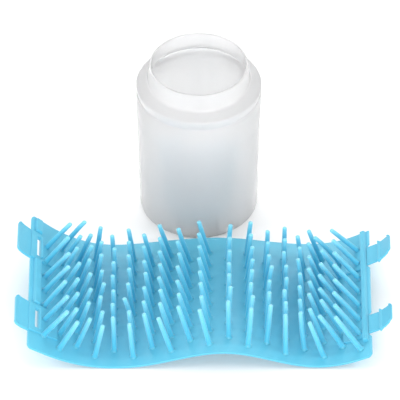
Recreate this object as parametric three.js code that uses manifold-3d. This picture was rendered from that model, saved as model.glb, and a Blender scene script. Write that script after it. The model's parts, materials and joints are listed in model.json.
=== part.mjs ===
// A paw washer cup taken apart for cleaning: a moulded plastic cup with a narrowed neck, and the soft
// bristle mat that lines it. The mat lies in a low wave in front of the cup, bristles up. It is modelled
// as one strip for each column of bristles, hinged along the bristle side, so it can roll into a tube.
// Millimetres. +Z is up, +X is to the right, and the origin is the centre of the cup's base.
import * as THREE from "three";
import { mergeVertices } from "three/addons/utils/BufferGeometryUtils.js";
import Module from "manifold-3d";

const wasm = await Module();
wasm.setup();

// Cup
const CUP_HEIGHT = 130;
const CUP_BASE_RADIUS = 43;
const CUP_SHOULDER_RADIUS = 45;
const CUP_SHOULDER_Z = 111;
const CUP_BASE_FILLET = 3;
const SHOULDER_ROUND = 2.6;
const NECK_FOOT_RADIUS = 36.9;
const NECK_FOOT_Z = 117.5;
const NECK_FILLET = { out: 1.6, below: 1.1, above: 0.9 };
const RIM_RADIUS = 35.4;
const RIM_CHAMFER = 0.5;
const CUP_WALL = 1.5;
const CUP_FLOOR = 1.8;
const CUP_SIDES = 56;

// Mat, measured along its own surface
const MAT_BACK_Y = -50.8;
const MAT_DEPTH = 126.5;
const SHEET = 1.8;
const COLUMNS = 18;
const COLUMN_PITCH = 13.65;
const LEFT_MARGIN = 13.8;
const RIGHT_MARGIN = 8.6;
const STRIP_GAP = 0.3;
const STRIP_BEVEL = 0.35;
const CORNER_ROUND = 4;

// The wave that the mat lies in: two troughs on the floor with a crest between them
const LEFT_TROUGH_X = -60;
const CREST_X = 17.2;
const RIGHT_TROUGH_X = 82.2;
const LEFT_END = { rise: 22.6, run: 59 };
const CREST = { rise: 11, fall: 10.2 };
const RIGHT_END = { rise: 13.7, run: 42 };
const FLOOR_COLUMN = 4;

// Bristles. They have taken a set to the left, by a number of degrees in each column, and lean back more
// towards the front right corner.
const BRISTLE_LENGTH = 31;
const BRISTLE_BASE_RADIUS = 2.05;
const BRISTLE_TIP_RADIUS = 1.55;
const BRISTLE_ROOT = 0.7;
const BRISTLE_SIDES = 8;
const ROW_PITCH = 14.2;
const FIRST_ROW = 17.5;
const LONG_COLUMN_ROWS = 8;
const SHORT_COLUMN_ROWS = 7;
const SIDE_LEAN = [0, 0, 0, 0, 0, 0, 0, 4, 6, 8, 2, 5, 9, 12, 13, 14, 14, 11];
const BACK_LEAN = { left: -4, right: 15 };
const LEAN_AT_BACK_ROW = -0.35;

// Fasteners: two slotted tabs on the left edge take two barbed tongues on the right edge
const FASTENERS = { back: 27, front: 96 };
const SLOT = { x: -7, width: 3.1, length: 18 };
const TAB = { length: 12.5, width: 26.5, round: 3, bevel: 0.9 };
const TONGUE = { length: 18.5, width: 17.6, thickness: 1.6, bevel: 0.8, lift: 20, round: 3.5 };
const BARB = { at: 7, length: 2.2, height: 1.3, width: 20, root: 0.5, slope: 0.6 };
const NOTCH = { inner: 6.5, slack: 2.6, clear: 1 };
const LEFT_BAR = { x0: -10.4, x1: -4.6, height: 2.3 };
const SLOT_LIP = { x0: -5.2, x1: -3.2, height: 1.8, beyond: 1 };
const RIGHT_BAR = { x0: 2.3, x1: 6.3, height: 2.4, fromBack: 1, fromFront: 15 };
const BAR_ROUND = 0.9;
const PAD = { height: 0.9, overhang: 4, underBar: 1 };
const BACK_CORNER = 0.8;

// How far a solid that is joined on is sunk in, and how far one that cuts passes what it cuts
const SUNK = 1;
const PAST = 1;

const PLASTIC = new THREE.MeshStandardMaterial({ color: 0xe9e9f0, roughness: 0.4, metalness: 0 });
const SILICONE = new THREE.MeshStandardMaterial({ color: 0x62c4ee, roughness: 0.55, metalness: 0 });

const part = new THREE.Group();

// ---- Solids ----

function solidOf(geometry) {
  const bare = geometry.index ? geometry.toNonIndexed() : geometry.clone();
  bare.deleteAttribute("normal");
  bare.deleteAttribute("uv");
  const merged = mergeVertices(bare, 1e-4);
  const vertProperties = merged.attributes.position.array;
  const triVerts = new Uint32Array(merged.index.array);
  return new wasm.Manifold(new wasm.Mesh({ numProp: 3, vertProperties, triVerts }));
}

function geometryOf(solid) {
  const mesh = solid.getMesh();
  const geometry = new THREE.BufferGeometry();
  geometry.setAttribute("position", new THREE.BufferAttribute(mesh.vertProperties, 3));
  geometry.setIndex(new THREE.BufferAttribute(mesh.triVerts, 1));
  geometry.computeVertexNormals();
  return geometry;
}

function addMesh(name, geometry, material, place) {
  const mesh = new THREE.Mesh(geometry, material);
  mesh.name = name;
  mesh.position.set(place.x, 0, place.z);
  mesh.rotation.y = -place.slope;
  part.add(mesh);
}

// A closed outline in x and z, drawn out along the mat's depth from back to front.
function acrossDepth(points, back, front) {
  const shape = new THREE.Shape(points.map(([x, z]) => new THREE.Vector2(x, z)));
  const geometry = new THREE.ExtrudeGeometry(shape, { depth: front - back, bevelEnabled: false });
  geometry.rotateX(Math.PI / 2);
  geometry.translate(0, MAT_BACK_Y - back, 0);
  return solidOf(geometry);
}

// A flat plate whose plan is a shape in x and y, from height bottom to top.
function plate(shape, bottom, top) {
  const options = { depth: top - bottom, bevelEnabled: false, curveSegments: 4 };
  const geometry = new THREE.ExtrudeGeometry(shape, options);
  geometry.translate(0, 0, bottom);
  return solidOf(geometry);
}

// A raised bar with a rounded top, standing on the sheet.
function bar({ x0, x1, height }, back, front) {
  const soft = Math.min(BAR_ROUND, (x1 - x0) / 3);
  const outline = [
    [x0, -SUNK],
    [x1, -SUNK],
    [x1, height - soft],
    [x1 - soft, height],
    [x0 + soft, height],
    [x0, height - soft],
  ];
  return acrossDepth(outline, back, front);
}

// ---- Cup ----

function arc(radius, centre, from, to, steps) {
  return Array.from({ length: steps + 1 }, (_, i) => {
    const angle = THREE.MathUtils.degToRad(from + ((to - from) * i) / steps);
    return [centre[0] + radius * Math.cos(angle), centre[1] + radius * Math.sin(angle)];
  });
}

// One skin of the cup, from the floor to the rim. The inner skin is the outer one moved in by a wall.
function cupSkin(inset, floor) {
  const fillet = CUP_BASE_FILLET;
  const base = CUP_BASE_RADIUS - inset;
  const shoulder = CUP_SHOULDER_RADIUS - inset;
  const foot = NECK_FOOT_RADIUS - inset;
  const shoulderZ = CUP_SHOULDER_Z - inset / 2;
  const footZ = NECK_FOOT_Z - inset;
  return [
    [0, floor],
    ...arc(fillet, [base - fillet, floor + fillet], -90, 0, 3),
    [shoulder, shoulderZ - SHOULDER_ROUND],
    ...arc(SHOULDER_ROUND, [shoulder - SHOULDER_ROUND, shoulderZ], 0, 70, 3),
    [foot + NECK_FILLET.out, footZ - NECK_FILLET.below],
    [foot, footZ + NECK_FILLET.above],
  ];
}

function makeCup() {
  const rim = [
    [RIM_RADIUS, CUP_HEIGHT - RIM_CHAMFER],
    [RIM_RADIUS - RIM_CHAMFER, CUP_HEIGHT],
    [RIM_RADIUS - CUP_WALL + RIM_CHAMFER, CUP_HEIGHT],
    [RIM_RADIUS - CUP_WALL, CUP_HEIGHT - RIM_CHAMFER],
  ];
  const profile = [...cupSkin(0, 0), ...rim, ...cupSkin(CUP_WALL, CUP_FLOOR).reverse()];
  const points = profile.map(([r, z]) => new THREE.Vector2(r, z));
  const geometry = new THREE.LatheGeometry(points, CUP_SIDES);
  geometry.rotateX(Math.PI / 2);
  addMesh("cup", geometryOf(solidOf(geometry)), PLASTIC, { x: 0, z: 0, slope: 0 });
}

// ---- Where each strip of the mat lies ----

function easedSlope(x, from, to, rise) {
  const t = (x - from) / (to - from);
  return (6 * rise * t * (1 - t)) / (to - from);
}

function waveSlope(x) {
  if (x < LEFT_TROUGH_X) return (2 * LEFT_END.rise * (x - LEFT_TROUGH_X)) / LEFT_END.run ** 2;
  if (x < CREST_X) return easedSlope(x, LEFT_TROUGH_X, CREST_X, CREST.rise);
  if (x < RIGHT_TROUGH_X) return easedSlope(x, CREST_X, RIGHT_TROUGH_X, -CREST.fall);
  return (2 * RIGHT_END.rise * (x - RIGHT_TROUGH_X)) / RIGHT_END.run ** 2;
}

// Each strip's place is its column's foot on the bristle side. From the strip on the floor, the next ones
// follow to each side, turned about the edge that the two share.
function layOutStrips() {
  const half = COLUMN_PITCH / 2;
  const places = [];
  places[FLOOR_COLUMN] = { x: LEFT_TROUGH_X, z: SHEET, slope: 0 };
  for (const side of [-1, 1]) {
    for (let i = FLOOR_COLUMN + side; i >= 0 && i < COLUMNS; i += side) {
      const last = places[i - side];
      const edgeX = last.x + side * half * Math.cos(last.slope);
      const edgeZ = last.z + side * half * Math.sin(last.slope);
      const slope = Math.atan(waveSlope(edgeX + side * half));
      const x = edgeX + side * half * Math.cos(slope);
      const z = edgeZ + side * half * Math.sin(slope);
      places[i] = { x, z, slope };
    }
  }
  return places;
}

// ---- Bristles ----

function bristle(y, sideLean, backLean) {
  const outline = [
    [0, -BRISTLE_ROOT],
    [BRISTLE_BASE_RADIUS, -BRISTLE_ROOT],
    [BRISTLE_TIP_RADIUS, BRISTLE_LENGTH],
    [0, BRISTLE_LENGTH],
  ];
  const points = outline.map(([r, z]) => new THREE.Vector2(r, z));
  const geometry = new THREE.LatheGeometry(points, BRISTLE_SIDES);
  geometry.rotateX(Math.PI / 2);
  geometry.rotateX(-THREE.MathUtils.degToRad(backLean));
  geometry.rotateY(-THREE.MathUtils.degToRad(sideLean));
  geometry.translate(0, y, 0);
  return solidOf(geometry);
}

// The columns are staggered by half a row, and every other one has one bristle fewer.
function bristlesOf(column) {
  const long = column % 2 === 1;
  const rows = long ? LONG_COLUMN_ROWS : SHORT_COLUMN_ROWS;
  const first = long ? FIRST_ROW : FIRST_ROW + ROW_PITCH / 2;
  const backLean = THREE.MathUtils.lerp(BACK_LEAN.left, BACK_LEAN.right, column / (COLUMNS - 1));
  return Array.from({ length: rows }, (_, row) => {
    const depth = first + row * ROW_PITCH;
    const share = THREE.MathUtils.lerp(LEAN_AT_BACK_ROW, 1, depth / MAT_DEPTH);
    return bristle(MAT_BACK_Y - depth, SIDE_LEAN[column], backLean * share);
  });
}

// ---- Strips ----

function middleSheet() {
  const half = COLUMN_PITCH / 2 - STRIP_GAP / 2;
  const outline = [
    [-half, 0],
    [-half + STRIP_BEVEL, -SHEET],
    [half - STRIP_BEVEL, -SHEET],
    [half, 0],
  ];
  return acrossDepth(outline, 0, MAT_DEPTH);
}

function rectangle(x0, x1, y0, y1) {
  const shape = new THREE.Shape();
  shape.moveTo(x0, y0);
  shape.lineTo(x1, y0);
  shape.lineTo(x1, y1);
  shape.lineTo(x0, y1);
  shape.closePath();
  return shape;
}

// A raised pad under the end bristles, around one fastener.
function pad(x0, x1, centre, width) {
  const back = centre - width / 2 - PAD.overhang;
  const front = centre + width / 2 + PAD.overhang;
  const outline = [
    [x0, -SUNK],
    [x1, -SUNK],
    [x1, PAD.height],
    [x0, PAD.height],
  ];
  return acrossDepth(outline, back, front);
}

// The left end: rounded corners, a raised bar cut away at the two slots, and a lip beside each slot.
function leftSheet() {
  const left = -LEFT_MARGIN;
  const right = COLUMN_PITCH / 2 - STRIP_GAP / 2;
  const backY = MAT_BACK_Y;
  const frontY = MAT_BACK_Y - MAT_DEPTH;
  const shape = new THREE.Shape();
  shape.moveTo(right, frontY);
  shape.lineTo(right, backY);
  shape.lineTo(left + CORNER_ROUND, backY);
  shape.quadraticCurveTo(left, backY, left, backY - CORNER_ROUND);
  shape.lineTo(left, frontY + CORNER_ROUND);
  shape.quadraticCurveTo(left, frontY, left + CORNER_ROUND, frontY);
  shape.closePath();
  let sheet = plate(shape, -SHEET, 0);
  const halfTab = TAB.width / 2;
  sheet = sheet.add(bar(LEFT_BAR, CORNER_ROUND, FASTENERS.back - halfTab));
  sheet = sheet.add(bar(LEFT_BAR, FASTENERS.back + halfTab, FASTENERS.front - halfTab));
  for (const centre of Object.values(FASTENERS)) {
    sheet = sheet.add(pad(left, right, centre, SLOT.length));
    const lipReach = SLOT.length / 2 + SLOT_LIP.beyond;
    sheet = sheet.add(bar(SLOT_LIP, centre - lipReach, centre + lipReach));
  }
  for (const centre of Object.values(FASTENERS)) {
    const y = MAT_BACK_Y - centre;
    const x0 = SLOT.x - SLOT.width / 2;
    const hole = rectangle(x0, x0 + SLOT.width, y - SLOT.length / 2, y + SLOT.length / 2);
    sheet = sheet.subtract(plate(hole, -SHEET - PAST, LEFT_BAR.height + PAST));
  }
  return sheet;
}

// The right end: a raised bar and a narrow margin, which is cut back beside each tongue.
function rightSheet() {
  const left = -COLUMN_PITCH / 2 + STRIP_GAP / 2;
  const right = RIGHT_MARGIN;
  const frontY = MAT_BACK_Y - MAT_DEPTH;
  const shape = new THREE.Shape();
  shape.moveTo(left, MAT_BACK_Y);
  shape.lineTo(left, frontY);
  shape.lineTo(right - CORNER_ROUND, frontY);
  shape.quadraticCurveTo(right, frontY, right, frontY + CORNER_ROUND);
  for (const centre of [FASTENERS.front, FASTENERS.back]) {
    const y = MAT_BACK_Y - centre;
    const reach = TONGUE.width / 2 + NOTCH.clear;
    shape.lineTo(right, y - reach - NOTCH.slack);
    shape.lineTo(NOTCH.inner, y - reach);
    shape.lineTo(NOTCH.inner, y + reach);
    shape.lineTo(right, y + reach + NOTCH.slack);
  }
  shape.lineTo(right, MAT_BACK_Y - BACK_CORNER);
  shape.lineTo(right - BACK_CORNER, MAT_BACK_Y);
  shape.closePath();
  let sheet = plate(shape, -SHEET, 0);
  sheet = sheet.add(bar(RIGHT_BAR, RIGHT_BAR.fromBack, MAT_DEPTH - RIGHT_BAR.fromFront));
  for (const centre of Object.values(FASTENERS)) {
    sheet = sheet.add(pad(left, RIGHT_BAR.x0 + PAD.underBar, centre, TONGUE.width));
  }
  return sheet;
}

function sheetOf(column) {
  if (column === 0) return leftSheet();
  if (column === COLUMNS - 1) return rightSheet();
  return middleSheet();
}

function makeStrip(column, place) {
  const solid = bristlesOf(column).reduce((sheet, spike) => sheet.add(spike), sheetOf(column));
  const number = String(column + 1).padStart(2, "0");
  addMesh(`mat_strip_${number}`, geometryOf(solid), SILICONE, place);
}

// ---- Fasteners ----

// A flat pull tab with round outer corners. Its inner edge is cut under so that it can bend down.
function makeTab(name, centre, place) {
  const y = MAT_BACK_Y - centre;
  const inner = -LEFT_MARGIN - STRIP_GAP;
  const outer = inner - TAB.length;
  const half = TAB.width / 2;
  const shape = new THREE.Shape();
  shape.moveTo(inner, y + half);
  shape.lineTo(outer + TAB.round, y + half);
  shape.quadraticCurveTo(outer, y + half, outer, y + half - TAB.round);
  shape.lineTo(outer, y - half + TAB.round);
  shape.quadraticCurveTo(outer, y - half, outer + TAB.round, y - half);
  shape.lineTo(inner, y - half);
  shape.closePath();
  const undercut = [
    [inner, 0],
    [inner + PAST, 0],
    [inner + PAST, -SHEET - PAST],
    [inner - TAB.bevel, -SHEET - PAST],
  ];
  const cut = acrossDepth(undercut, centre - half - PAST, centre + half + PAST);
  addMesh(name, geometryOf(plate(shape, -SHEET, 0).subtract(cut)), SILICONE, place);
}

// A tongue that bends up beyond its barb, with a barbed ridge across it that catches behind the slot.
function makeTongue(name, centre, place) {
  const inner = NOTCH.inner + STRIP_GAP;
  const bend = inner + BARB.at + BARB.length;
  const tip = inner + TONGUE.length;
  const lift = Math.tan(THREE.MathUtils.degToRad(TONGUE.lift)) * (tip - bend);
  const outline = [
    [inner, 0],
    [inner + TONGUE.bevel, -TONGUE.thickness],
    [bend, -TONGUE.thickness],
    [tip, lift - TONGUE.thickness],
    [tip, lift],
    [bend, 0],
  ];
  const ridge = [
    [bend - BARB.length, -BARB.root],
    [bend, -BARB.root],
    [bend, BARB.height],
    [bend - BARB.length * BARB.slope, BARB.height],
  ];
  const half = TONGUE.width / 2;
  const y = MAT_BACK_Y - centre;
  const shape = new THREE.Shape();
  shape.moveTo(inner - PAST, y - half);
  shape.lineTo(tip - TONGUE.round, y - half);
  shape.quadraticCurveTo(tip + PAST, y - half, tip + PAST, y - half + TONGUE.round);
  shape.lineTo(tip + PAST, y + half - TONGUE.round);
  shape.quadraticCurveTo(tip + PAST, y + half, tip - TONGUE.round, y + half);
  shape.lineTo(inner - PAST, y + half);
  shape.closePath();
  const blade = acrossDepth(outline, centre - half - PAST, centre + half + PAST);
  const barb = acrossDepth(ridge, centre - BARB.width / 2, centre + BARB.width / 2);
  const solid = blade.intersect(plate(shape, -SHEET - PAST, lift + PAST)).add(barb);
  addMesh(name, geometryOf(solid), SILICONE, place);
}

// ---- Assembly ----

makeCup();
const places = layOutStrips();
places.forEach((place, column) => makeStrip(column, place));
for (const [side, centre] of Object.entries(FASTENERS)) {
  makeTab(`tab_${side}`, centre, places[0]);
  makeTongue(`tongue_${side}`, centre, places[COLUMNS - 1]);
}

export default part;
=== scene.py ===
"""A paw washer cup: a frosted plastic cup, and its soft silicone bristle mat, taken out and lying in front.

Sizes are in metres in the frame's axes: +X along the mat, +Y from the mat to the cup, +Z up. The mat is
made as a flat sheet, measured along itself from column to column of bristles and from its back edge to its
front edge, and then laid along the curve that the CAD strips' hinges give.
"""

import json
import math
import random

import bpy
import numpy as np
from mathutils import Matrix, Vector


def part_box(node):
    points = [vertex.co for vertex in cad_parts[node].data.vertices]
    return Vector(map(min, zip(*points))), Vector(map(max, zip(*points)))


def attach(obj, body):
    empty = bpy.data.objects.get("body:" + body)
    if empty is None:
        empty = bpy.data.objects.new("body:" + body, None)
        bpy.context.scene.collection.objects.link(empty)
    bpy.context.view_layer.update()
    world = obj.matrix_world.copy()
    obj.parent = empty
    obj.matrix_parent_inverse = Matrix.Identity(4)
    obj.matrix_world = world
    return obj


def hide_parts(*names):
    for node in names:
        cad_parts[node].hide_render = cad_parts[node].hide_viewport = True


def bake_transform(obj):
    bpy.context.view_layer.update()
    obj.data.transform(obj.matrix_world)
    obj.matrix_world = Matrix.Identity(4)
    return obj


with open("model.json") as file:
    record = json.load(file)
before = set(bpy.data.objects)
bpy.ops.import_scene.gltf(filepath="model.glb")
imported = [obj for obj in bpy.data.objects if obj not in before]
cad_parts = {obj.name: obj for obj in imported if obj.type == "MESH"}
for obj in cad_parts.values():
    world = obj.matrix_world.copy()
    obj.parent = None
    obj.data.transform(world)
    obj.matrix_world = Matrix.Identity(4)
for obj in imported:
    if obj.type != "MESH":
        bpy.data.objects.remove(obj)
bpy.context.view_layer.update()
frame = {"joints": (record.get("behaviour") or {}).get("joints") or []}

MM = 0.001
COLUMNS = 18
SEED = 11
# The attribute that carries the painted highlight along each bristle towards its tip.
PAINTED_TIP_LIGHT = "thinness"

# Cup
CUP_HEIGHT = 130 * MM
BASE_RADIUS = 43 * MM
SHOULDER_RADIUS = 45 * MM
SHOULDER_Z = 111 * MM
SHOULDER_ROUND = 1.8 * MM
BASE_FILLET = 3 * MM
NECK_RADIUS = 36.9 * MM
NECK_Z = 117.5 * MM
RIM_RADIUS = 35.4 * MM
CUP_WALL = 1.5 * MM
CUP_FLOOR = 1.8 * MM
CUP_STEPS = 144
SHOULDER_SLOPE = 72
NECK_BEND = 2.4 * MM
NECK_BEND_RISE = 0.6 * MM
GROOVE_Z = 105.5 * MM
GROOVE_HALF_HEIGHT = 1.2 * MM
GROOVE_DEPTH = 0.6 * MM
GROOVE_INSET = 0.1 * MM

# Mat
SHEET = 1.8 * MM
EDGE_ROUND = 0.45 * MM
CORNER_ROUND = 4 * MM

# How the mat lies: its front edge rises by each twist and its back edge falls, its rows draw together to
# the front by GATHER of their distance from the crest, and its left end is drawn in.
CREST_COLUMN = 11
CREST_TWIST = 3.7 * MM
CREST_REACH = 68 * MM
LEFT_TWIST = -3.2 * MM
LEFT_TWIST_COLUMN = 5
RIGHT_TWIST = -0.9 * MM
RIGHT_TWIST_COLUMN = 15
GATHER = 0.010
LEFT_TUCK = 1.8 * MM
LEFT_TUCK_COLUMN = 4

# Raised parts and fasteners at the mat's ends, in x from the end columns. The left fasteners lie a little
# further forward and the right ones a little further back than in the CAD.
FASTENER_SKEW = 1.3 * MM
LEFT_BAR_X = (-10.4 * MM, -4.6 * MM)
LEFT_BAR_HEIGHT = 2.9 * MM
LEFT_BAR_BACK = 2.5 * MM
LEFT_BAR_EDGE = 0.8 * MM
LIP_X = (-5.3 * MM, -3.2 * MM)
LIP_HEIGHT = 2.4 * MM
LIP_EDGE = 0.6 * MM
LIP_OVERHANG = 1 * MM
RIGHT_BAR_X = (2.3 * MM, 6.3 * MM)
RIGHT_BAR_HEIGHT = 3.1 * MM
RIGHT_BAR_EDGE = 0.9 * MM
RIGHT_BAR_FROM_BACK = 1 * MM
RIGHT_BAR_FROM_FRONT = 15 * MM
PAD_HEIGHT = 1.3 * MM
PAD_EDGE = 0.3 * MM
PAD_OVERHANG = 4 * MM
RIGHT_PAD_X = (-13 * MM, 3.4 * MM)
LEFT_PAD_ENDS = {"back": 6.5 * MM, "front": 11.5 * MM}
SLOT_X = -7 * MM
SLOT_WIDTH = 3.1 * MM
SLOT_LENGTH = 18 * MM
RIGHT_MARGIN = 8.6 * MM
NOTCH_CLEARANCE = 1 * MM
NOTCH_SLACK = 2.6 * MM
NOTCH_FADE = 2.2 * MM
CORNER_FADE = 9 * MM
TAB_LENGTH = 12.5 * MM
TAB_WIDTH = 26.5 * MM
TAB_ROUND = 3 * MM
TAB_CURL = 1.2 * MM
TAB_RIM = 0.25 * MM
TAB_ROOT = 0.7 * MM
TAB_LIFT = 0.15 * MM
TAB_CORNER_FADE = 6 * MM
TAB_BEND = 5 * MM
TONGUE_LENGTH = 20.5 * MM
TONGUE_WIDTH = 17.6 * MM
TONGUE_THICKNESS = 1.6 * MM
TONGUE_ROUND = 2.6 * MM
TONGUE_RISE = 5 * MM
TONGUE_ROOT_INSIDE = 1.2 * MM
TONGUE_CORNER_FADE = 3.5 * MM
TONGUE_BEND = 5 * MM
BARB_AT = 8.6 * MM
BARB_LENGTH = 1.8 * MM
BARB_HEIGHT = 1.3 * MM
BARB_WIDTH = 20 * MM

# Bristles
BRISTLE_LENGTH = 31 * MM
BRISTLE_BASE = 2.05 * MM
BRISTLE_TIP = 1.55 * MM
BRISTLE_SIDES = 18
BASE_FLARE = 2.8 * MM
FLARE_HEIGHT = 1.6 * MM
TIP_ROUND = 0.7 * MM
# How strongly the bristle tips are paled: a painted highlight for the light that catches them from above.
PAINTED_TIP_LIGHT_AMOUNT = 0.55
ROW_PITCH = 14.2 * MM
FIRST_ROW = 17.5 * MM
LONG_ROWS = 8
SIDE_LEAN = [0, 0, 0, 0, 0, 0, 0, 4, 6, 8, 2, 5, 9, 12, 13, 14, 14, 11]
BACK_LEAN_LEFT = -4
BACK_LEAN_RIGHT = 15
LEAN_AT_BACK_ROW = -0.35
LEAN_SPREAD = 1.1
BEND_SPREAD = 0.55
# The bristles that are clearly bent: column and row, then the bend's direction in degrees and size in mm.
STRONG_BENDS = {(2, 0): (20, 4), (17, 0): (170, 4), (6, 5): (200, 2.5), (13, 3): (60, 2.5)}

# Colours
SILICONE_TONES = ((0.072, 0.46, 0.645), (0.088, 0.49, 0.675))
# The pale tone of the painted highlight on the bristle tips.
SILICONE_PAINTED_TIP_LIGHT = (0.30, 0.66, 0.78, 1)
PLASTIC_TONES = ((0.955, 0.955, 0.96), (0.975, 0.97, 0.975))
FLOOR_TONE = (0.95, 0.95, 0.95, 1)

# Light and camera
CAMERA_DISTANCE = 2.6
CAMERA_ELEVATION = 41.9
CAMERA_AIM = Vector((0.0009, 0, -0.0004))
CAMERA_LENS = 317.3
LIGHT_AIM = Vector((0, -0.06, 0.03))
WORLD_STRENGTH = 0.7
# Each softbox: its place, its width and height, and its power in watts.
LIGHTS = {
    "left_light": ((-1.0, -0.25, 0.75), (0.5, 0.6), 4.2),
    "right_light": ((1.0, -0.25, 0.75), (0.5, 0.6), 3.8),
    "back_light": ((0, 1.0, 0.9), (1.2, 0.6), 7),
    "front_light": ((0, -1.4, 0.6), (1.0, 0.5), 12.5),
}
FLOOR_SIZE = 6
FLOOR_Z = -0.2 * MM

# ---- Where the mat lies ----

JOINTS = {joint["name"]: joint for joint in frame["joints"]}


def joint_place(name):
    """A joint's place seen along the mat's depth: x and z."""
    x, _, z = JOINTS[name]["pos_m"]
    return np.array([x, z])


def fold_place(column):
    """The hinge between a column's strip and the next."""
    name = f"bend_{column:02d}_{column + 1:02d}"
    return joint_place(name if name in JOINTS else "mat_roll")


BACK_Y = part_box("mat_strip_05")[1].y
DEPTH = BACK_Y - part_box("mat_strip_05")[0].y
FOLDS = {column: fold_place(column) for column in range(1, COLUMNS)}
PITCH = float(np.linalg.norm(FOLDS[2] - FOLDS[1]))


def unit(v):
    return v / np.linalg.norm(v)


def column_feet():
    """Each column's foot on the bristle side, and the direction along its strip."""
    feet, along = {}, {}
    for column in range(2, COLUMNS):
        feet[column] = (FOLDS[column - 1] + FOLDS[column]) / 2
        along[column] = unit(FOLDS[column] - FOLDS[column - 1])
    along[1] = unit(FOLDS[1] - joint_place("tab_back_flex"))
    feet[1] = FOLDS[1] - along[1] * PITCH / 2
    along[COLUMNS] = unit(joint_place("tongue_back_flex") - FOLDS[COLUMNS - 1])
    feet[COLUMNS] = FOLDS[COLUMNS - 1] + along[COLUMNS] * PITCH / 2
    return feet, along


FEET, ALONG = column_feet()
LEFT_EDGE = -float(np.linalg.norm(joint_place("tab_back_flex") - FEET[1]))
TONGUE_ROOT = float(np.linalg.norm(joint_place("tongue_back_flex") - FEET[COLUMNS]))
FASTENERS = {side: BACK_Y - JOINTS[f"tab_{side}_flex"]["pos_m"][1] for side in ("back", "front")}
TAB_CENTRES = {side: depth + FASTENER_SKEW for side, depth in FASTENERS.items()}
TONGUE_CENTRES = {side: depth - FASTENER_SKEW for side, depth in FASTENERS.items()}


def smooth(t):
    t = min(1.0, max(0.0, t))
    return t * t * (3 - 2 * t)


def share_past(x, start, end):
    """How far x is from one column to another, as a share, and 0 short of the first."""
    return max(0.0, (x - FEET[start][0]) / (FEET[end][0] - FEET[start][0]))


def twist_at(x):
    """How far the mat's front edge stands above its middle line, and the back edge below it."""
    crest = FEET[CREST_COLUMN][0]
    rise = CREST_TWIST * math.cos(math.pi / 2 * min(1, abs(x - crest) / CREST_REACH)) ** 2
    left = share_past(x, LEFT_TWIST_COLUMN, 1)
    right = share_past(x, RIGHT_TWIST_COLUMN, COLUMNS)
    return rise + LEFT_TWIST * left**2 + RIGHT_TWIST * right**2


def mat_curve(column, offset):
    """The point and direction on the mat's middle line, offset metres along from a column's foot."""
    if offset < 0 and column > 1:
        column, offset = column - 1, offset + PITCH
    if offset < 0 or column == COLUMNS:
        return FEET[column] + ALONG[column] * offset, ALONG[column]
    t = offset / PITCH
    start, middle, end = FEET[column], FOLDS[column], FEET[column + 1]
    point = (1 - t) ** 2 * start + 2 * t * (1 - t) * middle + t * t * end
    return point, unit((1 - t) * (middle - start) + t * (end - middle))


def on_mat(column, offset, depth, height):
    """The place of a point of the flat mat.

    It is offset metres along from a column, at a depth from the back edge and a height above the sheet.
    """
    point, direction = mat_curve(column, offset)
    share = (depth - DEPTH / 2) / (DEPTH / 2)
    x = point[0] - direction[1] * height
    z = point[1] + direction[0] * height + twist_at(point[0]) * share
    x -= (x - FEET[CREST_COLUMN][0]) * GATHER * share
    x += LEFT_TUCK * (1 - 0.3 * share) * share_past(x, LEFT_TUCK_COLUMN, 1) ** 1.5
    return Vector((x, BACK_Y - depth, z))


def mat_axes(column):
    """The mat's own directions at a column: along it, towards its back edge, and away from it."""
    foot, direction = FEET[column], ALONG[column]
    along = Vector((direction[0], 0, direction[1]))
    back = Vector((0, 1, -twist_at(foot[0]) / (DEPTH / 2))).normalized()
    back = (back - along * back.dot(along)).normalized()
    return along, back, along.cross(back)


# ---- Meshes ----


def make_object(name, vertices, faces, material, smooth_angle=40):
    mesh = bpy.data.meshes.new(name)
    mesh.from_pydata([tuple(v) for v in vertices], [], faces)
    mesh.validate()
    mesh.shade_smooth()
    mesh.set_sharp_from_angle(angle=math.radians(smooth_angle))
    mesh.materials.append(material)
    obj = bpy.data.objects.new(name, mesh)
    bpy.context.scene.collection.objects.link(obj)
    return obj


def tube_faces(rings, sides, first=0):
    """Quads between rings of vertices, each with the same number of sides, and a face across each end."""
    faces = []
    for ring in range(rings - 1):
        for side in range(sides):
            a = first + ring * sides + side
            b = first + ring * sides + (side + 1) % sides
            faces.append((a, b, b + sides, a + sides))
    last = first + (rings - 1) * sides
    faces.append(tuple(first + side for side in reversed(range(sides))))
    faces.append(tuple(last + side for side in range(sides)))
    return faces


def stops(keys, step):
    """Values through all the keys, in order, no further apart than step."""
    keys = sorted(set(round(key, 7) for key in keys))
    values = [keys[0]]
    for low, high in zip(keys, keys[1:]):
        count = max(1, math.ceil((high - low) / step - 1e-6))
        values += [low + (high - low) * i / count for i in range(1, count + 1)]
    return values


def slab(name, us, vs, surface, is_hole=lambda u, v: False):
    """A closed sheet on a grid, with the top and bottom points of surface, less the cells of is_hole."""
    rows, columns = len(us), len(vs)
    count = rows * columns
    pairs = [surface(u, v) for u in us for v in vs]
    places = [pair[0] for pair in pairs] + [pair[1] for pair in pairs]

    def solid(i, j):
        if not (0 <= i < rows - 1 and 0 <= j < columns - 1):
            return False
        return not is_hole((us[i] + us[i + 1]) / 2, (vs[j] + vs[j + 1]) / 2)

    filled = {(i, j) for i in range(rows - 1) for j in range(columns - 1) if solid(i, j)}
    faces = []
    for i, j in sorted(filled):
        a, b = i * columns + j, i * columns + j + 1
        c, d = a + columns, b + columns
        faces.append((a, c, d, b))
        faces.append((a + count, b + count, d + count, c + count))
        sides = {(i - 1, j): (a, b), (i, j + 1): (b, d), (i + 1, j): (d, c), (i, j - 1): (c, a)}
        for neighbour, (p, q) in sides.items():
            if neighbour not in filled:
                faces.append((p, q, q + count, p + count))
    used = sorted(set(v for face in faces for v in face))
    renumber = {old: new for new, old in enumerate(used)}
    vertices = [places[old] for old in used]
    faces = [tuple(renumber[v] for v in face) for face in faces]
    return make_object(name, vertices, faces, SILICONE, 50)


# ---- Materials ----


def principled(name):
    material = bpy.data.materials.new(name)
    material.use_nodes = True
    tree = material.node_tree
    return material, tree, tree.nodes["Principled BSDF"]


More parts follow.
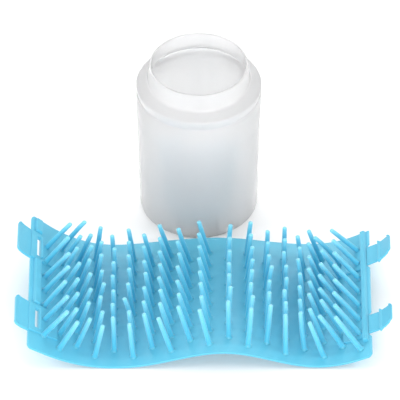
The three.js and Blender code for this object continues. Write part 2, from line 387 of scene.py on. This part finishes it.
def add_noise(tree, scale, detail, roughness=0.5, stretch=(1, 1, 1)):
    """Noise fixed to the piece. scale is how many cells fit in a metre."""
    place = tree.nodes.new("ShaderNodeTexCoord")
    mapping = tree.nodes.new("ShaderNodeMapping")
    mapping.inputs["Scale"].default_value = stretch
    noise = tree.nodes.new("ShaderNodeTexNoise")
    noise.inputs["Scale"].default_value = scale
    noise.inputs["Detail"].default_value = detail
    noise.inputs["Roughness"].default_value = roughness
    tree.links.new(place.outputs["Object"], mapping.inputs["Vector"])
    tree.links.new(mapping.outputs["Vector"], noise.inputs["Vector"])
    return noise.outputs["Fac"]


def add_ramp(tree, source, stops_at):
    ramp = tree.nodes.new("ShaderNodeValToRGB")
    elements = ramp.color_ramp.elements
    while len(elements) < len(stops_at):
        elements.new(0.5)
    for element, (position, colour) in zip(elements, stops_at):
        element.position = position
        element.color = (*colour, 1)
    tree.links.new(source, ramp.inputs["Fac"])
    return ramp.outputs["Color"]


def add_bump(tree, shader, layers):
    """Stacks bumps, each a height source, a distance in metres and a strength."""
    normal = None
    for height, distance, strength in layers:
        bump = tree.nodes.new("ShaderNodeBump")
        bump.inputs["Distance"].default_value = distance
        bump.inputs["Strength"].default_value = strength
        tree.links.new(height, bump.inputs["Height"])
        if normal is not None:
            tree.links.new(normal, bump.inputs["Normal"])
        normal = bump.outputs["Normal"]
    tree.links.new(normal, shader.inputs["Normal"])


def silicone_material(name, glow):
    """Satin silicone. glow is how much light spreads inside it, which shows in the thin bristles."""
    material, tree, shader = principled(name)
    cloud = add_noise(tree, 28, 3)
    deep = add_ramp(tree, cloud, [(0.3, SILICONE_TONES[0]), (0.7, SILICONE_TONES[1])])
    # Painted highlight: the colour pales towards each bristle's tip, where light catches it.
    tip_light_node = tree.nodes.new("ShaderNodeAttribute")
    tip_light_node.attribute_name = PAINTED_TIP_LIGHT
    painted_tip_mix = tree.nodes.new("ShaderNodeMix")
    painted_tip_mix.data_type = "RGBA"
    painted_tip_mix.inputs[7].default_value = SILICONE_PAINTED_TIP_LIGHT
    tree.links.new(tip_light_node.outputs["Fac"], painted_tip_mix.inputs[0])
    tree.links.new(deep, painted_tip_mix.inputs[6])
    tree.links.new(painted_tip_mix.outputs[2], shader.inputs["Base Color"])
    gloss = add_ramp(tree, add_noise(tree, 90, 4), [(0.3, (0.40,) * 3), (0.7, (0.52,) * 3)])
    tree.links.new(gloss, shader.inputs["Roughness"])
    shader.inputs["IOR"].default_value = 1.41
    shader.inputs["Specular IOR Level"].default_value = 0.9
    shader.inputs["Subsurface Weight"].default_value = glow
    shader.inputs["Subsurface Radius"].default_value = (0.4, 0.9, 1)
    shader.inputs["Subsurface Scale"].default_value = 4 * MM
    shader.inputs["Sheen Weight"].default_value = 0.4
    shader.inputs["Sheen Roughness"].default_value = 0.45
    fine = add_noise(tree, 1800, 3)
    add_bump(tree, shader, [(fine, 0.05 * MM, 0.35)])
    return material


def plastic_material():
    """Milky frosted plastic, which scatters light inside its wall and lets much of it through."""
    material, tree, shader = principled("frosted_plastic")
    cloud = add_noise(tree, 14, 3)
    colour = add_ramp(tree, cloud, [(0.3, PLASTIC_TONES[0]), (0.7, PLASTIC_TONES[1])])
    tree.links.new(colour, shader.inputs["Base Color"])
    gloss = add_ramp(tree, add_noise(tree, 60, 4), [(0.3, (0.42,) * 3), (0.7, (0.50,) * 3)])
    tree.links.new(gloss, shader.inputs["Roughness"])
    shader.inputs["IOR"].default_value = 1.3
    shader.inputs["Transmission Weight"].default_value = 0.6
    shader.inputs["Subsurface Weight"].default_value = 0.85
    shader.inputs["Subsurface Radius"].default_value = (1, 1, 1)
    shader.inputs["Subsurface Scale"].default_value = 15 * MM
    shader.inputs["Coat Weight"].default_value = 0.8
    shader.inputs["Coat Roughness"].default_value = 0.12
    ripple = add_noise(tree, 40, 2, stretch=(1, 1, 0.25))
    fine = add_noise(tree, 1500, 3)
    add_bump(tree, shader, [(ripple, 0.6 * MM, 0.3), (fine, 0.03 * MM, 0.3)])
    return material


def floor_material():
    material, _, shader = principled("studio_floor")
    shader.inputs["Base Color"].default_value = FLOOR_TONE
    shader.inputs["Roughness"].default_value = 0.9
    shader.inputs["Specular IOR Level"].default_value = 0.1
    return material


SILICONE = silicone_material("silicone", 0)
BRISTLE_SILICONE = silicone_material("silicone_bristle", 0.6)
PLASTIC = plastic_material()

# ---- Cup ----


def arc(radius, centre, start, end, steps):
    points = []
    for i in range(steps + 1):
        angle = math.radians(start + (end - start) * i / steps)
        points.append((centre[0] + radius * math.cos(angle), centre[1] + radius * math.sin(angle)))
    return points


def cup_skin(inset, floor):
    """One skin of the cup from the middle of its floor up to the neck, moved in by inset."""
    base = BASE_RADIUS - inset
    shoulder = SHOULDER_RADIUS - inset
    neck = NECK_RADIUS - inset
    top = SHOULDER_Z - inset / 2
    neck_foot = NECK_Z - inset
    fillet = BASE_FILLET
    points = [(0.0005 * MM, floor), (base * 0.5, floor)]
    points += arc(fillet, (base - fillet, floor + fillet), -90, 0, 8)
    for share in (0.25, 0.5, 0.75):
        low = floor + fillet
        high = top - SHOULDER_ROUND
        points.append((base + (shoulder - base) * share, low + (high - low) * share))
    if inset == 0:
        points += shoulder_groove(shoulder - GROOVE_INSET)
    points += arc(SHOULDER_ROUND, (shoulder - SHOULDER_ROUND, top), 0, SHOULDER_SLOPE, 8)
    bend_centre = (neck + NECK_BEND, neck_foot + NECK_BEND_RISE)
    points += arc(NECK_BEND, bend_centre, 180 + SHOULDER_SLOPE, 180, 6)
    return points


def shoulder_groove(wall):
    """A shallow groove that runs round just below the shoulder, in a wall of this radius."""
    half_floor = GROOVE_HALF_HEIGHT * 0.4
    points = [(wall, GROOVE_Z - GROOVE_HALF_HEIGHT), (wall - GROOVE_DEPTH, GROOVE_Z - half_floor)]
    points += [(wall - GROOVE_DEPTH, GROOVE_Z + half_floor), (wall, GROOVE_Z + GROOVE_HALF_HEIGHT)]
    return points


def make_cup():
    lip = CUP_WALL / 2
    rim = arc(lip, (RIM_RADIUS - lip, CUP_HEIGHT - lip), 0, 180, 8)
    outline = cup_skin(0, 0) + rim + list(reversed(cup_skin(CUP_WALL, CUP_FLOOR)))
    vertices = []
    for radius, z in outline:
        for step in range(CUP_STEPS):
            angle = 2 * math.pi * step / CUP_STEPS
            vertices.append((radius * math.cos(angle), radius * math.sin(angle), z))
    cup = make_object("cup_shell", vertices, tube_faces(len(outline), CUP_STEPS), PLASTIC, 50)
    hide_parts("cup")
    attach(cup, "cup")


# ---- The mat's sheet ----
# Places on the sheet are x, along from a column's foot, and depth, forward from the mat's back edge.


def edge_steps(start, sign):
    return [start + sign * share * EDGE_ROUND for share in (0, 0.07, 0.28, 0.62, 1)]


def edge_drop(distance):
    """How far a face falls towards the sheet's middle near a rounded edge."""
    if distance >= EDGE_ROUND:
        return 0.0
    return EDGE_ROUND - math.sqrt(max(0.0, EDGE_ROUND**2 - (EDGE_ROUND - distance) ** 2))


def corner_cut(distance, radius):
    """How far a round corner draws in an edge, at a distance from the edge that it meets."""
    if distance >= radius:
        return 0.0
    return radius - math.sqrt(max(0.0, radius**2 - (radius - distance) ** 2))


def raised(x, depth, part):
    """The height of one raised part at a place on the sheet."""
    x0, x1, back, front, height, soft = part
    inside = min(x - x0, x1 - x, depth - back, front - depth)
    if inside <= 0:
        return 0.0
    t = min(1.0, inside / soft)
    return height * math.sqrt(1 - (1 - t) ** 2)


def raised_keys(parts):
    """The grid lines in x and in depth that raised parts need along their edges."""
    xs, depths = [], []
    for x0, x1, back, front, _, soft in parts:
        for share in (0, 0.1, 0.35, 1):
            xs += [x0 + share * soft, x1 - share * soft]
            depths += [back + share * soft, front - share * soft]
    return xs, depths


def finish_sheet(obj, column):
    """Finishes a piece of the sheet between a column's strip and the next one, already laid along the mat's
    curve: hides their CAD strips and bakes its transform.
    """
    start = on_mat(column, 0, DEPTH / 2, 0)
    end = on_mat(column + 1, 0, DEPTH / 2, 0)
    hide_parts(f"mat_strip_{column:02d}", f"mat_strip_{column + 1:02d}")
    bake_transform(obj)


def border_depths():
    corner = [share * CORNER_ROUND for share in (0.1, 0.25, 0.45, 0.7, 1)]
    keys = edge_steps(0, 1) + edge_steps(DEPTH, -1)
    return keys + corner + [DEPTH - distance for distance in corner]


def clip(values, low, high):
    return [value for value in values if low < value < high]


def make_left_end():
    half_slot = SLOT_LENGTH / 2
    parts = []
    edges = [LEFT_BAR_BACK]
    for side in ("back", "front"):
        edges += [TAB_CENTRES[side] - TAB_WIDTH / 2, TAB_CENTRES[side] + TAB_WIDTH / 2]
    for back, front in ((edges[0], edges[1]), (edges[2], edges[3])):
        parts.append((*LEFT_BAR_X, back, front, LEFT_BAR_HEIGHT, LEFT_BAR_EDGE))
    holes = []
    for side, pad_end in LEFT_PAD_ENDS.items():
        centre = TAB_CENTRES[side]
        back, front = centre - half_slot, centre + half_slot
        reach = PAD_OVERHANG
        parts.append((LEFT_EDGE - MM, pad_end, back - reach, front + reach, PAD_HEIGHT, PAD_EDGE))
        parts.append((*LIP_X, back - LIP_OVERHANG, front + LIP_OVERHANG, LIP_HEIGHT, LIP_EDGE))
        holes.append((SLOT_X - SLOT_WIDTH / 2, SLOT_X + SLOT_WIDTH / 2, back, front))

    def surface(x, depth):
        distance = min(depth, DEPTH - depth, x - LEFT_EDGE)
        for x0, x1, back, front in holes:
            beyond = max(x0 - x, x - x1, 0), max(back - depth, depth - front, 0)
            distance = min(distance, math.hypot(*beyond))
        drop = edge_drop(max(0.0, distance))
        lift = max(raised(x, depth, part) for part in parts)
        drawn_in = corner_cut(min(depth, DEPTH - depth), CORNER_ROUND)
        place = x + drawn_in * (1 - smooth((x - LEFT_EDGE) / CORNER_FADE))
        return on_mat(1, place, depth, lift - drop), on_mat(1, place, depth, drop - SHEET)

    def is_hole(x, depth):
        return any(x0 < x < x1 and back < depth < front for x0, x1, back, front in holes)

    xs, depths = raised_keys(parts)
    xs = clip(xs, LEFT_EDGE, PITCH) + edge_steps(LEFT_EDGE, 1) + [0, PITCH]
    depths += border_depths()
    for x0, x1, back, front in holes:
        xs += edge_steps(x0, -1) + edge_steps(x1, 1)
        depths += edge_steps(back, -1) + edge_steps(front, 1)
    sheet = slab("mat_left_end", stops(xs, 0.7 * MM), stops(depths, 0.9 * MM), surface, is_hole)
    finish_sheet(sheet, 1)


def make_right_end():
    bar_front = DEPTH - RIGHT_BAR_FROM_FRONT
    parts = [(*RIGHT_BAR_X, RIGHT_BAR_FROM_BACK, bar_front, RIGHT_BAR_HEIGHT, RIGHT_BAR_EDGE)]
    reach = TONGUE_WIDTH / 2
    for centre in TONGUE_CENTRES.values():
        back, front = centre - reach - PAD_OVERHANG, centre + reach + PAD_OVERHANG
        parts.append((*RIGHT_PAD_X, back, front, PAD_HEIGHT, PAD_EDGE))
    cut = RIGHT_MARGIN - TONGUE_ROOT
    clear = reach + NOTCH_CLEARANCE

    def notch(depth):
        outside = min(abs(depth - centre) for centre in TONGUE_CENTRES.values()) - clear
        return cut * (1 - min(1.0, max(0.0, outside / NOTCH_SLACK)))

    def surface(x, depth):
        distance = min(depth, DEPTH - depth, RIGHT_MARGIN - x)
        drop = edge_drop(max(0.0, distance))
        lift = max(raised(x, depth, part) for part in parts)
        from_edge = RIGHT_MARGIN - x
        place = x - notch(depth) * (1 - smooth(from_edge / NOTCH_FADE))
        place -= corner_cut(DEPTH - depth, CORNER_ROUND) * (1 - smooth(from_edge / CORNER_FADE))
        return on_mat(COLUMNS, place, depth, lift - drop), on_mat(COLUMNS, place, depth, drop - SHEET)

    xs, depths = raised_keys(parts)
    xs = clip(xs, -PITCH, RIGHT_MARGIN) + edge_steps(RIGHT_MARGIN, -1) + [-PITCH, 0]
    depths = clip(depths, 0, DEPTH) + border_depths()
    for centre in TONGUE_CENTRES.values():
        for distance in (clear, clear + NOTCH_SLACK):
            depths += [centre - distance, centre + distance]
    sheet = slab("mat_right_end", stops(xs, 0.7 * MM), stops(depths, 0.9 * MM), surface)
    finish_sheet(sheet, COLUMNS - 1)


def make_middle(column):
    def surface(x, depth):
        drop = edge_drop(min(depth, DEPTH - depth))
        return on_mat(column, x, depth, -drop), on_mat(column, x, depth, drop - SHEET)

    depths = stops(edge_steps(0, 1) + edge_steps(DEPTH, -1), 3 * MM)
    sheet = slab(f"mat_sheet_{column:02d}", stops([0, PITCH], 1.8 * MM), depths, surface)
    finish_sheet(sheet, column)


# ---- Bristles ----


def bristle_profile():
    """Radius at each share of a bristle's length: a flared foot, a slow taper and a rounded tip."""
    length = BRISTLE_LENGTH
    points = [(-0.5 * MM, BASE_FLARE)]
    for share in (0, 0.2, 0.45, 0.75, 1):
        flare = (BASE_FLARE - BRISTLE_BASE) * (1 - share) ** 2
        points.append((share * FLARE_HEIGHT, BRISTLE_BASE + flare))
    for share in (0.25, 0.5, 0.75):
        z = FLARE_HEIGHT + share * (length - FLARE_HEIGHT)
        points.append((z, BRISTLE_BASE + (BRISTLE_TIP - BRISTLE_BASE) * z / length))
    for angle in (0, 25, 50, 70, 90):
        turn = math.radians(angle)
        radius = BRISTLE_TIP - TIP_ROUND + TIP_ROUND * math.cos(turn)
        points.append((length - TIP_ROUND + TIP_ROUND * math.sin(turn), radius))
    points.append((length + 0.04 * MM, (BRISTLE_TIP - TIP_ROUND) * 0.5))
    return points


def bristle_rings(foot, along, back, normal, bend):
    """The rings of one bristle. Its own axes lean, and bend is how far its tip is drawn aside."""
    rings = []
    for z, radius in bristle_profile():
        share = max(0.0, z / BRISTLE_LENGTH)
        centre = foot + normal * z + bend * share * share
        for side in range(BRISTLE_SIDES):
            angle = 2 * math.pi * side / BRISTLE_SIDES
            rings.append(centre + (along * math.cos(angle) + back * math.sin(angle)) * radius)
    return rings


def mark_painted_tip_light(obj, bristles):
    """Marks a painted highlight along each bristle, a share of a pale tone that is most at its tip, which
    stands in for the light that catches the tips.
    """
    along = [max(0.0, z / BRISTLE_LENGTH) for z, _ in bristle_profile()]
    one = [PAINTED_TIP_LIGHT_AMOUNT * share**3 for share in along for _ in range(BRISTLE_SIDES)]
    marks = obj.data.attributes.new(PAINTED_TIP_LIGHT, "FLOAT", "POINT")
    marks.data.foreach_set("value", one * bristles)


def lean_axes(axes, side_lean, back_lean):
    """The mat's axes tilted to the left by side_lean and to the back by back_lean, in degrees."""
    along, back, normal = axes
    sideways = Matrix.Rotation(-math.radians(side_lean), 3, "Y")
    backwards = Matrix.Rotation(-math.radians(back_lean), 3, "X")
    turned = sideways @ backwards
    sheet_axes = Matrix((along, back, normal)).transposed()
    return [sheet_axes @ turned.col[i] for i in range(3)]


def make_bristles(column, draw):
    index = column - 1
    long_column = column % 2 == 0
    rows = LONG_ROWS if long_column else LONG_ROWS - 1
    first = FIRST_ROW if long_column else FIRST_ROW + ROW_PITCH / 2
    lean_share = index / (COLUMNS - 1)
    back_lean = BACK_LEAN_LEFT + (BACK_LEAN_RIGHT - BACK_LEAN_LEFT) * lean_share
    vertices, faces = [], []
    for row in range(rows):
        depth = first + row * ROW_PITCH
        fan = LEAN_AT_BACK_ROW + (1 - LEAN_AT_BACK_ROW) * depth / DEPTH
        foot = on_mat(column, 0, depth, 0)
        side = SIDE_LEAN[index] + draw.gauss(0, LEAN_SPREAD)
        axes = lean_axes(mat_axes(column), side, back_lean * fan + draw.gauss(0, LEAN_SPREAD))
        angle, amount = draw.uniform(0, 2 * math.pi), abs(draw.gauss(0, BEND_SPREAD)) * MM
        if (column, row) in STRONG_BENDS:
            degrees, size = STRONG_BENDS[column, row]
            angle, amount = math.radians(degrees), size * MM
        bend = axes[0] * (math.cos(angle) * amount) + axes[1] * (math.sin(angle) * amount)
        count = len(bristle_profile())
        faces += tube_faces(count, BRISTLE_SIDES, len(vertices))
        vertices += bristle_rings(foot, *axes, bend)
    obj = make_object(f"bristles_{column:02d}", vertices, faces, BRISTLE_SILICONE, 50)
    mark_painted_tip_light(obj, rows)
    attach(obj, f"strip_{column:02d}")


# ---- Tabs and tongues ----


def make_tab(side):
    """A pull tab: a flat flap with round outer corners and a soft rim, which curls up a little."""
    centre = TAB_CENTRES[side]
    inner, outer = LEFT_EDGE + TAB_ROOT, LEFT_EDGE - TAB_LENGTH
    half = TAB_WIDTH / 2

    def surface(x, across):
        from_side = half - abs(across)
        distance = min(from_side, x - outer)
        drop = edge_drop(max(0.0, distance))
        share = (LEFT_EDGE - x) / TAB_LENGTH
        place = x + corner_cut(from_side, TAB_ROUND) * smooth(1 - (x - outer) / TAB_CORNER_FADE)
        curl = TAB_CURL * max(0.0, share) ** 2
        rim = TAB_RIM * (1 - smooth((distance - 0.5 * MM) / (0.8 * MM))) * smooth(share * 4)
        top = curl + rim + TAB_LIFT - drop
        depth = centre + across
        return on_mat(1, place, depth, top), on_mat(1, place, depth, curl + drop - SHEET)

    corner = [share * TAB_ROUND for share in (0.1, 0.25, 0.45, 0.7, 1)]
    across = edge_steps(-half, 1) + edge_steps(half, -1)
    across += [half - distance for distance in corner] + [distance - half for distance in corner]
    xs = edge_steps(outer, 1) + [inner, outer + 0.9 * MM, outer + 1.3 * MM, LEFT_EDGE]
    tab = slab(f"tab_{side}_soft", stops(xs, 0.8 * MM), stops(across, 1.2 * MM), surface)
    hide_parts(f"tab_{side}")
    start = on_mat(1, LEFT_EDGE + 0.5 * MM, centre, 0)
    end = on_mat(1, LEFT_EDGE - TAB_BEND, centre, 0)
    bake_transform(tab)


def tongue_half_width(x):
    """Half the tongue's width: a waist, then the barb, which stands out on both sides, then a blunt tip."""
    base = TONGUE_WIDTH / 2
    barb = BARB_WIDTH / 2
    keys = [(-3 * MM, base), (BARB_AT - 0.9 * MM, base), (BARB_AT - 0.3 * MM, base - 0.7 * MM)]
    keys += [(BARB_AT + 0.2 * MM, barb), (BARB_AT + 0.9 * MM, barb), (BARB_AT + 3.4 * MM, base)]
    keys += [(TONGUE_LENGTH, base - 0.8 * MM)]
    for (x0, w0), (x1, w1) in zip(keys, keys[1:]):
        if x <= x1:
            return w0 + (w1 - w0) * smooth((x - x0) / (x1 - x0))
    return keys[-1][1]


def make_tongue(side):
    """A tongue with a barbed ridge across it and a tip that curves up."""
    centre = TONGUE_CENTRES[side]

    def surface(x, v):
        half = tongue_half_width(x)
        across = v * half
        from_side, from_tip = half - abs(across), TONGUE_LENGTH - x
        drop = edge_drop(max(0.0, min(from_side, from_tip)))
        place = x - corner_cut(from_side, TONGUE_ROUND) * smooth(1 - from_tip / TONGUE_CORNER_FADE)
        rise = TONGUE_RISE * max(0.0, (x - BARB_AT) / (TONGUE_LENGTH - BARB_AT)) ** 1.3
        ridge = BARB_HEIGHT * barb_shape((x - BARB_AT) / BARB_LENGTH)
        low = rise - TONGUE_THICKNESS + drop
        middle = TONGUE_ROOT + place
        depth = centre + across
        return on_mat(COLUMNS, middle, depth, rise + ridge - drop), on_mat(COLUMNS, middle, depth, low)

    xs = edge_steps(TONGUE_LENGTH, -1) + [-TONGUE_ROOT_INSIDE, 0]
    xs += [BARB_AT + share * BARB_LENGTH for share in (-0.05, 0, 0.15, 0.4, 0.7, 1, 1.3)]
    edge_shares = (0, 0.07, 0.28, 0.62, 1, 1.8, 3, 5, 8)
    shares = [1 - share * EDGE_ROUND / (TONGUE_WIDTH / 2) for share in edge_shares]
    vs = shares + [-share for share in shares]
    tongue = slab(f"tongue_{side}_soft", stops(xs, 0.5 * MM), stops(vs, 0.12), surface)
    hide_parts(f"tongue_{side}")
    start = on_mat(COLUMNS, TONGUE_ROOT - 0.5 * MM, centre, 0)
    end = on_mat(COLUMNS, TONGUE_ROOT + TONGUE_BEND, centre, 0)
    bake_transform(tongue)


def barb_shape(t):
    """The ridge's height across it, from its steep inner face to its long outer slope."""
    if t <= 0:
        return 0.0
    if t < 0.4:
        return math.sqrt(1 - (1 - t / 0.4) ** 2)
    return 1 - smooth((t - 0.4) / 0.9)


# ---- Light, floor and camera ----


def add_area(name, place, size, power):
    light = bpy.data.lights.new(name, "AREA")
    light.shape = "RECTANGLE"
    light.size, light.size_y = size
    light.energy = power
    obj = bpy.data.objects.new(name, light)
    obj.location = place
    obj.rotation_euler = (LIGHT_AIM - Vector(place)).to_track_quat("-Z", "Y").to_euler()
    bpy.context.scene.collection.objects.link(obj)


def make_studio():
    size = FLOOR_SIZE
    corners = [(x, y, FLOOR_Z) for x, y in ((-size, -size), (size, -size), (size, size), (-size, size))]
    floor = make_object("studio_floor", corners, [(0, 1, 2, 3)], floor_material())
    world = bpy.data.worlds.new("studio")
    world.use_nodes = True
    background = world.node_tree.nodes["Background"]
    background.inputs["Color"].default_value = (1, 1, 1, 1)
    background.inputs["Strength"].default_value = WORLD_STRENGTH
    bpy.context.scene.world = world
    for name, (place, size, power) in LIGHTS.items():
        add_area(name, place, size, power)


def make_camera():
    camera = bpy.data.cameras.new("camera")
    camera.sensor_width = 36
    camera.lens = CAMERA_LENS
    camera.clip_end = 20
    obj = bpy.data.objects.new("camera", camera)
    tilt = math.radians(CAMERA_ELEVATION)
    away = Vector((0, -math.cos(tilt), math.sin(tilt)))
    obj.location = CAMERA_AIM + away * CAMERA_DISTANCE
    obj.rotation_euler = away.to_track_quat("Z", "Y").to_euler()
    bpy.context.scene.collection.objects.link(obj)
    bpy.context.scene.camera = obj


# ---- Making it ----

make_camera()
make_studio()
make_cup()
make_left_end()
for number in range(2, COLUMNS - 1):
    make_middle(number)
make_right_end()
dice = random.Random(SEED)
for number in range(1, COLUMNS + 1):
    make_bristles(number, dice)
for side_name in ("back", "front"):
    make_tab(side_name)
    make_tongue(side_name)

bpy.context.scene.view_settings.view_transform = "Standard"
